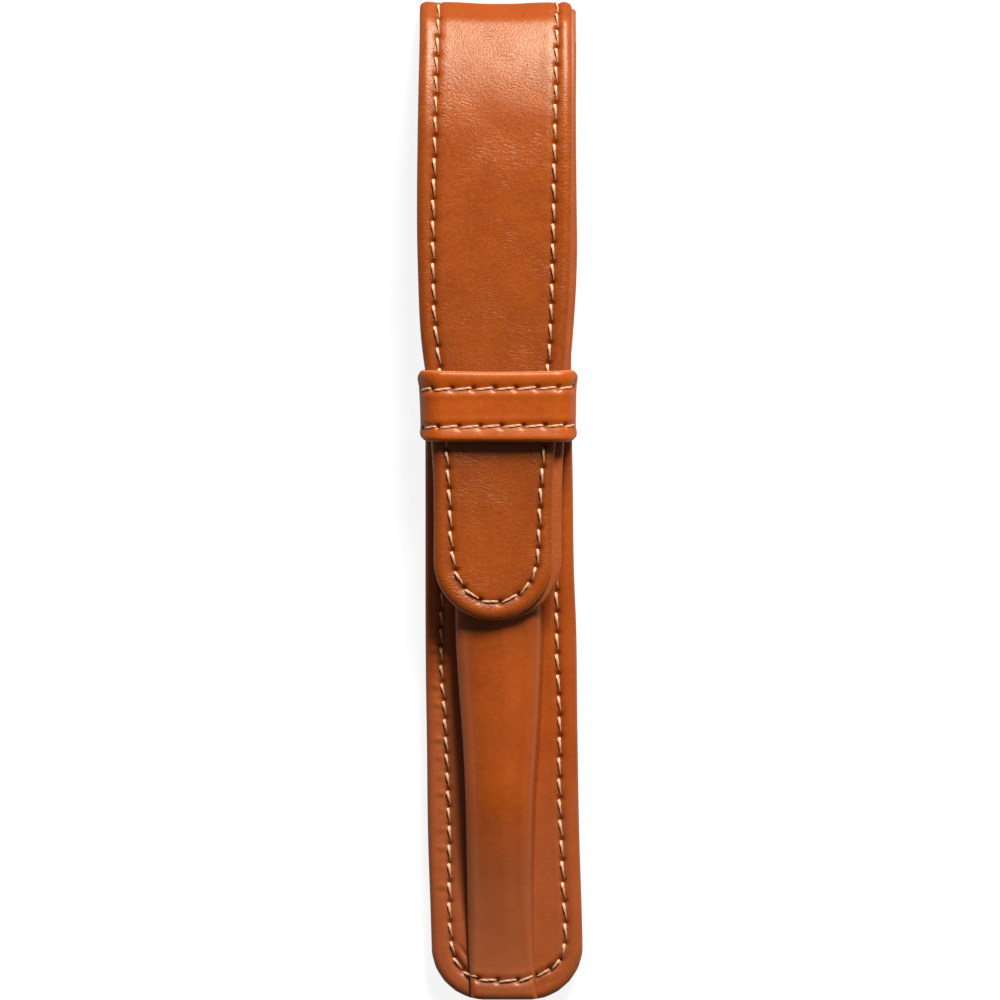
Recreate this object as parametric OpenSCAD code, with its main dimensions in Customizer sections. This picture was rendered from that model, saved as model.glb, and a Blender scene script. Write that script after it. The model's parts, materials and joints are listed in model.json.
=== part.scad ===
// Single pen sleeve: a narrow leather pocket with a pleated channel for one pen. The back
// runs on over the top fold and down the front as a flap, whose tongue tucks under a keeper.
// It lies on its back: +Z is out of the front, +Y points to the top fold, +X is its right.

/* [Leather] */
// Thickness of the outer leather of the back and flap
leather_t = 1.3; // [1:0.1:1.6]
// Thickness of the lining of the back and flap
lining_t = 1.2; // [0.8:0.1:1.5]
// Thickness of the pocket's front leather
pocket_t = 1.2; // [1:0.1:1.4]
// Thickness of the keeper's outer leather
keeper_t = 0.6; // [0.5:0.1:0.7]
// Thickness of the keeper's lining
keeper_lining_t = 0.5; // [0.4:0.05:0.6]

/* [Body] */
// Length from the top fold to the bottom edge
body_l = 165; // [155:1:180]
// Width across the bottom
bottom_w = 24.9; // [24:0.1:26]
// Width at the keeper, where the body is narrowest
waist_w = 23.7; // [23:0.1:23.8]
// Length over which the sides draw in towards the keeper
waist_l = 56; // [40:1:70]
// Radius of the bottom corners
corner_r = 8.5; // [7:0.5:9.5]

/* [Pen channel] */
// Distance from the top fold down to the pocket's mouth
mouth_drop = 33; // [28:1:40]
// Width of the channel along its upper part
channel_w = 14; // [12:0.5:15]
// Width of the channel at the bottom
channel_low_w = 10.8; // [9.5:0.1:12]
// Rise of the channel above the pocket's flat margins
channel_rise = 5; // [4.5:0.1:6]
// Rise of the channel where the bottom seam crosses it
channel_low_rise = 2.2; // [2:0.1:3]
// Distance from the top fold to where the channel starts to narrow and sink
channel_taper_drop = 104; // [103:1:112]
// Length over which the channel narrows
channel_taper_l = 32; // [24:1:40]
// Length over which the channel sinks
channel_sink_l = 54; // [45:1:55]
// Radius along the channel's top edges
channel_edge_r = 1.7; // [1.5:0.1:2]
// How far the pleat tucks in under each top edge
pleat_tuck = 0.8; // [0.4:0.1:1.2]
// Distance from the bottom seam's thread up to the end of the channel's hollow
channel_end_gap = 1; // [0.5:0.1:3]

/* [Flap] */
// Width of the flap at the top fold
flap_w = 25.2; // [24.8:0.1:25.6]
// Width of the tongue
tongue_w = 20; // [18:0.5:21]
// Distance from the top fold to the tongue's tip
tongue_drop = 102.2; // [98:0.1:102.6]
// Distance from the top fold to where the flap starts to narrow
narrow_drop = 40; // [34:1:44]
// Distance from the top fold to where the tongue's sides run straight
straight_drop = 84; // [76:1:86]
// Distance from the top fold to where the flap levels out over the channel
level_drop = 21; // [18:0.5:25]
// Inner radius of the top fold
fold_r = 0.4; // [0.3:0.1:0.8]
// How far the lining's right edge stands out past the leather's
lining_creep = 0.9; // [0:0.1:0.9]

/* [Keeper] */
// Overall width of the keeper loop
keeper_w = 26.3; // [26.3:0.1:27]
// Height of the keeper along the sleeve
keeper_h = 11.6; // [10:0.2:13]
// Distance from the top fold to the keeper's top edge
keeper_drop = 61; // [61:0.5:66]
// Outer radius where the keeper turns down the sides
keeper_turn_r = 2.2; // [1.6:0.1:2.6]
// Outer radius where the keeper turns in under the pocket's edge
keeper_foot_r = 1.1; // [0.9:0.1:1.3]
// Radius of the keeper's corners, seen from the front
keeper_corner_r = 1; // [0.6:0.1:1.4]
// Width of each keeper end that is caught in the side seam
keeper_end_l = 3.9; // [3.6:0.1:4.2]

/* [Stitching] */
// Distance from one stitch to the next
stitch_pitch = 3.4; // [3:0.1:4]
// Length of one stitch
stitch_l = 2.4; // [2:0.1:2.6]
// Thickness of the thread, seen from above
stitch_w = 0.65; // [0.5:0.05:0.8]
// How far a stitch stands out of the leather
stitch_rise = 0.3; // [0.2:0.05:0.35]
// Slant of each stitch to its row, in degrees
stitch_slant = 8; // [0:1:12]
// Distance from the sleeve's and flap's edges to the seam
seam_inset = 2.7; // [2.4:0.1:3]
// Distance from the keeper's edges to its two rows
keeper_inset = 2.5; // [2:0.1:3]
// Depth of the groove that sinks the thread on the back and the fold
groove_d = 0.35; // [0.3:0.05:0.5]
// Width of that groove
groove_w = 1; // [0.9:0.05:1.2]

/* [Bending lines] */
// Distance from the top fold to the flap's upper bending line
upper_bend_drop = 5.5; // [5:0.1:7]
// Distance from the keeper's top edge up to the flap's lower bending line
lower_bend_gap = 0.7; // [0.5:0.1:1.5]

/* [Clearances] */
// Gap between the channel's top and the flap above it
flap_gap = 0.2; // [0.15:0.05:0.4]
// Gap between the tongue and the keeper above it
keeper_gap = 0.6; // [0.5:0.05:0.8]
// Gap between two parts of the flap at a bending line
bend_gap = 0.2; // [0.1:0.05:0.4]
// Gap round the keeper's ends inside the seam
end_gap = 0.05; // [0.05:0.05:0.1]
// Gap between a sunk stitch and its groove
thread_gap = 0.02; // [0.01:0.01:0.05]

/* [Hidden] */
$fn = 64;
// Overshoot of cutting shapes, and steps along curves
cut = 1;
plan_step = 4;
loft_step = 3;
fold_steps = 12;
slope_steps = 8;
corner_steps = 10;
tip_steps = 30;
edge_steps = 4;
// Smallest radius of a thin layer's inner corner, and the most that an edge takes of a rise
least_r = 0.1;
edge_share = 0.6;
// Angle at which a keeper stitch starts over the turned edge
turn_stitch_a = 88;
tan_leather = [0.70, 0.34, 0.13];
tan_lining = [0.60, 0.31, 0.16];
cream = [0.98, 0.88, 0.70];

// Heights of the stacked layers, from the table upwards
sheet_t = leather_t + lining_t;
z_seam = sheet_t;
z_margin = z_seam + pocket_t;
z_flap = z_margin + channel_rise + flap_gap;
z_face = z_flap + sheet_t;
z_keeper_in = z_face + keeper_gap;
z_keeper = z_keeper_in + keeper_lining_t + keeper_t;

// Places along the sleeve
y_top = body_l / 2;
y_bottom = -body_l / 2;
y_mouth = y_top - mouth_drop;
y_channel_taper = y_top - channel_taper_drop;
y_channel_end = y_bottom + seam_inset + stitch_w + channel_end_gap;
y_keeper_top = y_top - keeper_drop;
y_keeper = y_keeper_top - keeper_h / 2;
y_waist = y_keeper - waist_l;
y_upper_bend = y_top - upper_bend_drop;
y_lower_bend = y_keeper_top + lower_bend_gap;
y_middle_bend = (y_upper_bend + y_lower_bend) / 2;
y_tip_centre = y_top - tongue_drop + tongue_w / 2;

// The fold's small arc runs into the slope's large one, which levels out at y_level
fold_c = [y_top - sheet_t - fold_r, z_seam + fold_r];
y_level = y_top - level_drop;
slope_run = fold_c.x - y_level;
slope_rise = z_flap - fold_c.y;
slope_r = (slope_run * slope_run + slope_rise * slope_rise - fold_r * fold_r)
    / (2 * (slope_rise - fold_r));
slope_c = [y_level, z_flap - slope_r];
slope_a = atan2(slope_run, slope_r - slope_rise);

// Lengths along the flap's outer face, counted upwards from the level line
arc_mm = PI / 180;
slope_end_s = (slope_r + sheet_t) * slope_a * arc_mm;
fold_out_r = fold_r + sheet_t;
function fold_s(a) = a * arc_mm * fold_out_r;

function mix(a, b, t) = a + (b - a) * t;
function ease(t) = let (u = max(0, min(1, t))) u * u * (3 - 2 * u);

// Half width of the flap and tongue, and of the back, at a place along the sleeve
function flap_half(y) =
    mix(flap_w, tongue_w, ease((y_top - narrow_drop - y) / (straight_drop - narrow_drop))) / 2;
function back_half(y) =
    y < y_keeper
        ? mix(bottom_w, waist_w, ease((y - y_waist) / waist_l)) / 2
        : mix(waist_w, flap_w, ease((y - y_keeper) / (y_level - y_keeper))) / 2;

// Sideways creep of one layer, from none at the mouth to its full value at the fold
function creep(y, side) = side * lining_creep / 2 * ease((y - y_mouth) / (y_level - y_mouth));

// Half width and top of the pen channel
function channel_half(y) =
    mix(channel_w, channel_low_w, ease((y_channel_taper - y) / channel_taper_l)) / 2;
function channel_top(y) = z_margin
    + mix(channel_rise, channel_low_rise, ease((y_channel_taper - y) / channel_sink_l));
function edge_r(y) = min(channel_edge_r, edge_share * (channel_top(y) - z_margin));

// Stations from a to b, no more than step apart
function stations(a, b, step) =
    let (n = ceil(abs(b - a) / step)) [for (i = [0:n]) mix(a, b, i / n)];

// Points of an arc in n steps, and a list turned round
function arc(c, r, a0, a1, n) =
    [for (i = [0:n]) let (a = mix(a0, a1, i / n)) [c.x + r * cos(a), c.y + r * sin(a)]];
function reversed(list) = [for (i = [len(list) - 1:-1:0]) list[i]];

// Centres of the stitches that fit between a and b
function row(a, b) =
    let (n = floor((b - a) / stitch_pitch))
    [for (i = [0:1:n - 1]) (a + b) / 2 + (i - (n - 1) / 2) * stitch_pitch];

// Length along the outer face up to a place on the slope or the level part
function face_s(y) =
    y < y_level
        ? y - y_level
        : (slope_r + sheet_t) * asin((y - y_level) / (slope_r + sheet_t)) * arc_mm;

// Place and lean of the outer face at length s: [y, z, degrees that it leans to the top]
function face_at(s) =
    s < 0
        ? [y_level + s, z_face, 0]
        : let (a = s / (slope_r + sheet_t) / arc_mm)
            [slope_c.x + (slope_r + sheet_t) * sin(a), slope_c.y + (slope_r + sheet_t) * cos(a), a];

// Turns a profile drawn in Y and Z into a solid w wide along X
module along_x(w) {
    rotate([90, 0, 90]) linear_extrude(w, center = true) children();
}

module ring_sector(c, r0, r1, a0, a1) {
    translate(c) intersection() {
        difference() {
            circle(r1);
            circle(r0);
        }
        polygon(concat([[0, 0]], arc([0, 0], 2 * r1, a0, a1, edge_steps)));
    }
}

// Side view of the sheet's surface at t off its inner face, over the fold and down the slope
function fold_line(t) = arc(fold_c, fold_r + t, -90, 90 - slope_a, fold_steps);
function slope_line(t) = arc(slope_c, slope_r + t, 90 - slope_a, 90, slope_steps);
function sheet_line(t) = concat(
    [[y_mouth, z_seam - t]],
    fold_line(t),
    slope_line(t),
    [[y_bottom, z_flap + t]]
);

// Side view of one layer, between t0 and t1 off the inner face
module sheet_profile(t0, t1) {
    polygon(concat(sheet_line(t1), reversed(sheet_line(t0))));
}

// Plan of the flap: straight at the top, drawn in past the keeper, round at the tip
module flap_plan(side) {
    ys = concat([y_top + cut], stations(y_top - narrow_drop, y_top - straight_drop, plan_step));
    translate([side * lining_creep / 2, 0]) polygon(concat(
        [for (y = reversed(ys)) [flap_half(y), y]],
        [for (y = ys) [-flap_half(y), y]],
        arc([0, y_tip_centre], tongue_w / 2, 180, 360, tip_steps)
    ));
}

// Plan of the back and the pocket up to y_end, with its edges moved in by inset
module body_plan(side, y_end, inset = 0) {
    r = corner_r - inset;
    x = bottom_w / 2 - corner_r;
    y0 = y_bottom + corner_r;
    ys = stations(y_waist, fold_c.x, plan_step);
    up = concat([for (y = ys) if (y < y_end - cut) y], [y_end]);
    polygon(concat(
        arc([-x, y0], r, 180, 270, corner_steps),
        arc([x, y0], r, 270, 360, corner_steps),
        [for (y = up) [back_half(y) - inset + creep(y, side), y]],
        [for (y = reversed(up)) [inset - back_half(y) + creep(y, side), y]]
    ));
}

// The back with the fold, up to the upper bending line
module back_sheet(side, z0, t0, t1) {
    translate([0, 0, z0]) linear_extrude(t1 - t0) body_plan(side, fold_c.x);
    intersection() {
        along_x(2 * flap_w) sheet_profile(t0, t1);
        linear_extrude(z_face) intersection() {
            flap_plan(side);
            translate([-flap_w, y_upper_bend + bend_gap / 2]) square([2 * flap_w, upper_bend_drop + cut]);
        }
    }
}

// One stretch of the flap, between two places along the sleeve
module flap_sheet(side, t0, t1, y0, y1) {
    intersection() {
        along_x(2 * flap_w) sheet_profile(t0, t1);
        translate([0, 0, z_seam + fold_r]) linear_extrude(z_face) intersection() {
            flap_plan(side);
            translate([-flap_w, y0]) square([2 * flap_w, y1 - y0]);
        }
    }
}

module flap_upper(side, t0, t1) {
    flap_sheet(side, t0, t1, y_middle_bend + bend_gap / 2, y_upper_bend - bend_gap / 2);
}

module flap_lower(side, t0, t1) {
    flap_sheet(side, t0, t1, y_lower_bend + bend_gap / 2, y_middle_bend - bend_gap / 2);
}

module tongue(side, t0, t1) {
    flap_sheet(side, t0, t1, y_bottom, y_lower_bend - bend_gap / 2);
}

module flap_upper_leather() {
    color(tan_leather) flap_upper(-1, lining_t, sheet_t);
}

module flap_upper_lining() {
    color(tan_lining) flap_upper(1, 0, lining_t);
}

module flap_lower_leather() {
    color(tan_leather) flap_lower(-1, lining_t, sheet_t);
}

module flap_lower_lining() {
    color(tan_lining) flap_lower(1, 0, lining_t);
}

module tongue_leather() {
    color(tan_leather) tongue(-1, lining_t, sheet_t);
}

module tongue_lining() {
    color(tan_lining) tongue(1, 0, lining_t);
}

// Groove along the seam, in the back and over the fold
module seam_groove() {
    x_fold = flap_w / 2 - seam_inset;
    translate([0, 0, -cut]) linear_extrude(cut + groove_d) difference() {
        body_plan(-1, fold_c.x, seam_inset - groove_w / 2);
        body_plan(-1, fold_c.x + cut, seam_inset + groove_w / 2);
    }
    for (x = [-x_fold, x_fold])
        translate([x - lining_creep / 2, 0, 0]) along_x(groove_w)
            polygon(concat(fold_line(sheet_t + cut), reversed(fold_line(sheet_t - groove_d))));
}

module back_leather() {
    color(tan_leather) difference() {
        back_sheet(-1, 0, lining_t, sheet_t);
        seam_groove();
    }
}

module back_lining() {
    color(tan_lining) back_sheet(1, leather_t, 0, lining_t);
}

// Closed skin over cross-sections that all have the same number of points
module loft(sections) {
    n = len(sections[0]);
    m = len(sections);
    polyhedron(
        points = [for (s = sections) each s],
        faces = concat(
            [[for (i = [0:n - 1]) i]],
            [for (k = [0:m - 2], i = [0:n - 1])
                each let (j = (i + 1) % n, a = k * n, b = a + n)
                    [[a + i, b + i, b + j], [a + i, b + j, a + j]]],
            [[for (i = [n - 1:-1:0]) (m - 1) * n + i]]
        )
    );
}

// One top edge of the channel's section, as points [x, y, z] on an arc
function edge_arc(y, x, z, r, a0, a1) = [for (p = arc([x, z], r, a0, a1, edge_steps)) [p.x, y, p.y]];

// Section of the channel, t in from its outside: it tucks in under both top edges
function channel_section(y, t, z_low) =
    let (
        half = channel_half(y) - t,
        foot = half - pleat_tuck,
        r = max(least_r, edge_r(y) - t),
        z = channel_top(y) - t - r
    )
    concat(
        [[-foot, y, z_low], [foot, y, z_low], [foot, y, z_margin - t]],
        edge_arc(y, half - r, z, r, 0, 90),
        edge_arc(y, r - half, z, r, 90, 180),
        [[-foot, y, z_margin - t]]
    );

// Room that one end of the keeper takes in the pocket's edge
module keeper_end_room(side) {
    x_end = keeper_w / 2 - keeper_end_l - keeper_t - end_gap;
    translate([side > 0 ? x_end : -x_end - keeper_w, y_keeper_top - keeper_h - end_gap, 0])
        cube([keeper_w, keeper_h + 2 * end_gap, z_seam + keeper_t + end_gap]);
}

module pocket_front() {
    ys = stations(y_channel_taper, y_channel_taper - channel_sink_l, loft_step);
    outer_ys = concat([y_mouth], ys, [y_bottom - cut]);
    hollow_ys = concat([y_mouth + cut], [for (y = ys) if (y > y_channel_end + cut) y], [y_channel_end]);
    color(tan_leather) difference() {
        union() {
            translate([0, 0, z_seam]) linear_extrude(pocket_t) body_plan(0, y_mouth);
            intersection() {
                loft([for (y = outer_ys) channel_section(y, 0, z_seam + pocket_t / 2)]);
                linear_extrude(z_flap) body_plan(0, y_mouth);
            }
        }
        loft([for (y = hollow_ys) channel_section(y, pocket_t, z_seam - cut)]);
        for (side = [-1, 1]) keeper_end_room(side);
    }
}

// Section of the keeper in X and Z, shrunk by t from its outside
module keeper_section(t) {
    half = keeper_w / 2 - t;
    top_r = keeper_turn_r - t;
    foot = max(least_r, keeper_foot_r - t);
    z0 = z_seam + t;
    z1 = z_keeper - t;
    for (x = [-half + top_r, half - top_r]) translate([x, z1 - top_r]) circle(top_r);
    for (x = [-half + foot, half - foot]) translate([x, z0 + foot]) circle(foot);
    translate([-half + top_r, z0]) square([2 * (half - top_r), z1 - z0]);
    translate([-half, z0 + foot]) square([2 * half, z1 - top_r - z0 - foot]);
    translate([-half + foot, z0]) square([2 * (half - foot), foot]);
}

// Front outline of the keeper, with its four small corners
module keeper_plan() {
    half = keeper_w / 2 - keeper_corner_r;
    run = keeper_h / 2 - keeper_corner_r;
    translate([0, y_keeper]) {
        for (x = [-half, half], y = [-run, run]) translate([x, y]) circle(keeper_corner_r);
        square([2 * half, keeper_h], center = true);
        square([keeper_w, 2 * run], center = true);
    }
}

module keeper_leather() {
    x_end = keeper_w / 2 - keeper_end_l - keeper_t;
    color(tan_leather) intersection() {
        translate([0, y_keeper_top, 0]) rotate([90, 0, 0]) linear_extrude(keeper_h) difference() {
            keeper_section(0);
            keeper_section(keeper_t);
            translate([-x_end, 0]) square([2 * x_end, z_seam + 2 * keeper_t]);
        }
        linear_extrude(z_keeper + cut) keeper_plan();
    }
}

module keeper_lining() {
    z_foot = z_seam + keeper_t + keeper_foot_r / 2;
    color(tan_lining) intersection() {
        translate([0, y_keeper_top, 0]) rotate([90, 0, 0]) linear_extrude(keeper_h) difference() {
            keeper_section(keeper_t);
            keeper_section(keeper_t + keeper_lining_t);
            translate([-keeper_w, 0]) square([2 * keeper_w, z_foot]);
        }
        linear_extrude(z_keeper + cut) keeper_plan();
    }
}

// One stitch lying on a face, along X and slanted to its row
module stitch(slant = stitch_slant, rise = stitch_rise) {
    run = stitch_l - stitch_w;
    rotate([0, 0, slant]) linear_extrude(rise) {
        square([run, stitch_w], center = true);
        for (x = [-run / 2, run / 2]) translate([x, 0]) circle(d = stitch_w);
    }
}

// Both side rows of the flap between two lengths along its outer face
module flap_rows(s0, s1) {
    for (s = row(s0, s1), side = [-1, 1]) {
        p = face_at(s);
        x = side * (flap_half(p[0]) - seam_inset) - lining_creep / 2;
        translate([x, p[0], p[1]]) rotate([-p[2], 0, 0]) rotate([0, 0, 90]) stitch();
    }
}

// Stitches round a corner arc of the seam, centred at c
module corner_stitches(c, r, a0, a1) {
    for (s = row(a0 * arc_mm * r, a1 * arc_mm * r)) {
        a = s / r / arc_mm;
        translate([c.x + r * cos(a), c.y + r * sin(a), 0]) rotate([0, 0, a + 90]) children();
    }
}

module pocket_stitches() {
    r = corner_r - seam_inset;
    c = [bottom_w / 2 - corner_r, y_bottom + corner_r];
    strip = channel_half(y_bottom);
    reach = acos((strip + stitch_l / 2 + bend_gap - c.x) / r);
    x_strip = strip - edge_r(y_bottom);
    color(cream) {
        for (y = row(c.y, y_mouth), side = [-1, 1])
            translate([side * (back_half(y) - seam_inset), y, z_margin]) rotate([0, 0, 90]) stitch();
        translate([0, 0, z_margin]) {
            corner_stitches(c, r, -reach, 0) stitch();
            corner_stitches([-c.x, c.y], r, 180, 180 + reach) stitch();
        }
        for (x = row(-x_strip, x_strip))
            translate([x, y_bottom + seam_inset, channel_top(y_bottom)]) stitch();
    }
}

module back_stitches() {
    r = corner_r - seam_inset;
    c = [bottom_w / 2 - corner_r, y_bottom + corner_r];
    sunk = groove_d - 2 * thread_gap;
    color(cream) translate([0, 0, thread_gap]) {
        for (y = row(c.y, fold_c.x), side = [-1, 1])
            translate([side * (back_half(y) - seam_inset) + creep(y, -1), y, 0])
                rotate([0, 0, 90]) stitch(0, sunk);
        corner_stitches(c, r, -90, 0) stitch(0, sunk);
        corner_stitches([-c.x, c.y], r, 180, 270) stitch(0, sunk);
        for (x = row(-c.x, c.x)) translate([x, y_bottom + seam_inset, 0]) stitch(0, sunk);
    }
}

// The thread over the fold: two sunk stitches that follow it, then one on the slope
module fold_stitches() {
    x_fold = flap_w / 2 - seam_inset;
    half_a = stitch_l / 2 / fold_out_r / arc_mm;
    color(cream) {
        for (x = [-x_fold, x_fold], s = row(fold_s(-90), fold_s(90 - slope_a))) {
            a = s / fold_out_r / arc_mm;
            translate([x - lining_creep / 2, 0, 0]) along_x(stitch_w)
                ring_sector(
                    fold_c, fold_out_r - groove_d + thread_gap, fold_out_r - thread_gap,
                    a - half_a, a + half_a
                );
        }
        flap_rows(face_s(y_upper_bend + bend_gap / 2), slope_end_s);
    }
}

module tongue_stitches() {
    color(cream) {
        flap_rows(face_s(y_tip_centre), face_s(y_lower_bend - bend_gap / 2));
        translate([-lining_creep / 2, 0, z_face])
            corner_stitches([0, y_tip_centre], tongue_w / 2 - seam_inset, 180, 360) stitch();
    }
}

// One row across the keeper: its outermost stitches follow the turned edges
module keeper_row(y) {
    flat = keeper_w / 2 - keeper_turn_r;
    a0 = turn_stitch_a - (stitch_l - stitch_w / 2) / keeper_turn_r / arc_mm;
    for (x = row(-flat, flat)) translate([x, y, z_keeper]) stitch();
    for (side = [0, 1]) mirror([side, 0, 0])
        translate([0, y, 0]) rotate([90, 0, 0]) linear_extrude(stitch_w, center = true)
            ring_sector(
                [flat, z_keeper - keeper_turn_r], keeper_turn_r, keeper_turn_r + stitch_rise,
                a0, turn_stitch_a
            );
}

module flap_upper_stitches() {
    color(cream) flap_rows(face_s(y_middle_bend + bend_gap / 2), face_s(y_upper_bend - bend_gap / 2));
}

module flap_lower_stitches() {
    color(cream) flap_rows(face_s(y_lower_bend + bend_gap / 2), face_s(y_middle_bend - bend_gap / 2));
}

module keeper_upper_stitches() {
    color(cream) keeper_row(y_keeper_top - keeper_inset);
}

module keeper_lower_stitches() {
    color(cream) keeper_row(y_keeper_top - keeper_h + keeper_inset);
}

back_leather();
back_lining();
pocket_front();
keeper_leather();
keeper_lining();
flap_upper_leather();
flap_upper_lining();
flap_lower_leather();
flap_lower_lining();
tongue_leather();
tongue_lining();
back_stitches();
pocket_stitches();
fold_stitches();
flap_upper_stitches();
flap_lower_stitches();
tongue_stitches();
keeper_upper_stitches();
keeper_lower_stitches();
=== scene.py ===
import math

import bmesh
import bpy
import numpy as np
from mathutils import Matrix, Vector
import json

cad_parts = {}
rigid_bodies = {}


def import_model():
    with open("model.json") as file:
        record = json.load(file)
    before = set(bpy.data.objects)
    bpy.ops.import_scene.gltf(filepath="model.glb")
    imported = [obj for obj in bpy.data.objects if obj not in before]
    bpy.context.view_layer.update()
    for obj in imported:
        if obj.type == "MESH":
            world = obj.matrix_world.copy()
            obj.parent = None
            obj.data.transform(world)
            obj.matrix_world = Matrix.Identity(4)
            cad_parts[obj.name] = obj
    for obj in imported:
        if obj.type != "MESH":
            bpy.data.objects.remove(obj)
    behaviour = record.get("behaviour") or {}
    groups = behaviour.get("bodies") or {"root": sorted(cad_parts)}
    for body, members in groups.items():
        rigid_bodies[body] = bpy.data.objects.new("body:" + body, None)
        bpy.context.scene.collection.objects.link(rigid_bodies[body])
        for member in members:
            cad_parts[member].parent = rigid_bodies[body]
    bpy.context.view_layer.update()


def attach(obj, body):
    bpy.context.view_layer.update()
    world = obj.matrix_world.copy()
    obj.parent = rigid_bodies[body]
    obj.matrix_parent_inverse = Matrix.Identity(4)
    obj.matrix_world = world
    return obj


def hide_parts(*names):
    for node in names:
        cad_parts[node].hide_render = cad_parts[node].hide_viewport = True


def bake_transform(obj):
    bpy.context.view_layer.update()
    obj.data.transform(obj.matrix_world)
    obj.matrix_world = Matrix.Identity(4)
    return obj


for o in list(bpy.data.objects):
    bpy.data.objects.remove(o)
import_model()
scene = bpy.context.scene

# Lengths below are in millimetres and become metres where a mesh is made
MM = 0.001
# Heights of the faces above the table: back leather, lining, pocket's margin, level flap
Z_LINING, Z_SEAM, Z_MARGIN, Z_FACE = 1.3, 2.5, 3.7, 11.4
# Thickness of the strap with its lining and without, and the gap between the two
SHEET, LEATHER, LAYER_GAP = 2.5, 1.3, 0.04
# Places along the sleeve from its middle: end of the level flap, top fold, pocket's mouth, back
# end of the fold, cut between crown and flap, cut between flap and tongue
Y_LEVEL, Y_TOP, Y_MOUTH, Y_BACK, Y_CROWN, Y_TONGUE = 61.5, 82.5, 49.5, 76.0, 62.0, 36.0


# --- small maths
join = np.concatenate


def mix(a, b, t):
    return a + (b - a) * t


def columns(*parts):
    """Points whose coordinates are the given arrays."""
    return np.stack(parts, -1)


def ease(t):
    t = np.clip(t, 0, 1)
    return t * t * (3 - 2 * t)


def bell(d, width):
    return np.exp(-((d / width) ** 2))


def curve(*knots):
    """Smooth curve through (place, value) knots, level past both ends."""
    p, v = np.array(sorted(knots), float).T
    slope = np.gradient(v, p)

    def at(q):
        q = np.asarray(q, float)
        i = np.clip(np.searchsorted(p, q) - 1, 0, len(p) - 2)
        h = p[i + 1] - p[i]
        t = np.clip((q - p[i]) / h, 0, 1)
        a = v[i] * (1 + 2 * t) * (1 - t) ** 2 + v[i + 1] * t * t * (3 - 2 * t)
        return a + h * (slope[i] * t * (1 - t) ** 2 + slope[i + 1] * t * t * (t - 1))

    return at


def hashed(ix, iy, seed):
    n = (ix * 73856093 ^ iy * 19349663 ^ seed * 83492791) & 0x7FFFFFFF
    n = ((n ^ (n >> 13)) * 1274126177) & 0x7FFFFFFF
    n = ((n ^ (n >> 15)) * 668265263) & 0x7FFFFFFF
    return (n & 0xFFFF) / 32767.5 - 1


def noise(x, y, seed):
    """Repeatable smooth noise from -1 to 1 with features about one unit wide."""
    x, y = np.broadcast_arrays(np.asarray(x, float), np.asarray(y, float))
    ix, iy = np.floor(x).astype(np.int64), np.floor(y).astype(np.int64)
    fx, fy = ease(x - ix), ease(y - iy)
    low = mix(hashed(ix, iy, seed), hashed(ix + 1, iy, seed), fx)
    high = mix(hashed(ix, iy + 1, seed), hashed(ix + 1, iy + 1, seed), fx)
    return mix(low, high, fy)


def line_distance(x, y, line):
    """Distance from points to a polyline."""
    shape = np.shape(x)
    p = columns(np.ravel(x), np.ravel(y))
    a, d = line[:-1], np.diff(line, axis=0)
    size = np.maximum((d * d).sum(1), 1e-12)
    best = np.full(len(p), np.inf)
    for k in range(0, len(p), 4000):
        q = p[k : k + 4000, None] - a
        t = np.clip((q * d).sum(2) / size, 0, 1)
        best[k : k + 4000] = np.sqrt((((q - t[..., None] * d) ** 2).sum(2)).min(1))
    return best.reshape(shape)


def spot_field(x, y, spots, width):
    """Sum of small bells at the given spots."""
    total = np.zeros(np.shape(x))
    for sx, sy in spots:
        near = (abs(x - sx) < 3 * width) & (abs(y - sy) < 3 * width)
        total[near] += bell(np.hypot(x[near] - sx, y[near] - sy), width)
    return total


# --- meshes
def linked(name, data):
    """New object in the scene."""
    o = bpy.data.objects.new(name, data)
    scene.collection.objects.link(o)
    return o


def make(name, points, faces, rest, rim=None, seam=None, sharp=50):
    """Mesh object from points in millimetres, with coincident points joined."""
    points = np.asarray(points, float)
    _, first, to = np.unique(
        np.round(points, 3), axis=0, return_index=True, return_inverse=True
    )
    to = to.ravel()
    clean = []
    for face in faces:
        ring = [int(to[i]) for i in face]
        ring = [a for k, a in enumerate(ring) if a != ring[k - 1]]
        if len(ring) > 2 and len(set(ring)) == len(ring):
            clean.append(ring)
    mesh = bpy.data.meshes.new(name)
    mesh.from_pydata((points[first] * MM).tolist(), [], clean)
    mesh.validate()
    b = bmesh.new()
    b.from_mesh(mesh)
    bmesh.ops.recalc_face_normals(b, faces=b.faces)
    b.to_mesh(mesh)
    b.free()
    mesh.shade_smooth()
    mesh.set_sharp_from_angle(angle=math.radians(sharp))
    spot = mesh.attributes.new("rest", "FLOAT_VECTOR", "POINT")
    spot.data.foreach_set("vector", np.asarray(rest, np.float32)[first].ravel())
    # rim carries edge paint, the pocket's painted sheen and the thread's painted tail shade; seam
    # carries painted shade
    for label, values in (("rim", rim), ("seam", seam)):
        if values is not None:
            held = mesh.attributes.new(label, "FLOAT", "POINT")
            held.data.foreach_set("value", np.asarray(values, np.float32)[first])
    return linked(name, mesh)


def grid_faces(index):
    a, b = index[:-1, :-1].ravel(), index[:-1, 1:].ravel()
    c, d = index[1:, 1:].ravel(), index[1:, :-1].ravel()
    return columns(a, b, c, d).tolist()


def zipper(a, b, ta, tb):
    """Triangles between two rows of indices whose places rise together."""
    faces, i, j = [], 0, 0
    while i < len(a) - 1 or j < len(b) - 1:
        if j == len(b) - 1 or (i < len(a) - 1 and ta[i + 1] <= tb[j + 1]):
            faces.append((a[i], a[i + 1], b[j]))
            i += 1
        else:
            faces.append((a[i], b[j + 1], b[j]))
            j += 1
    return faces


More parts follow.
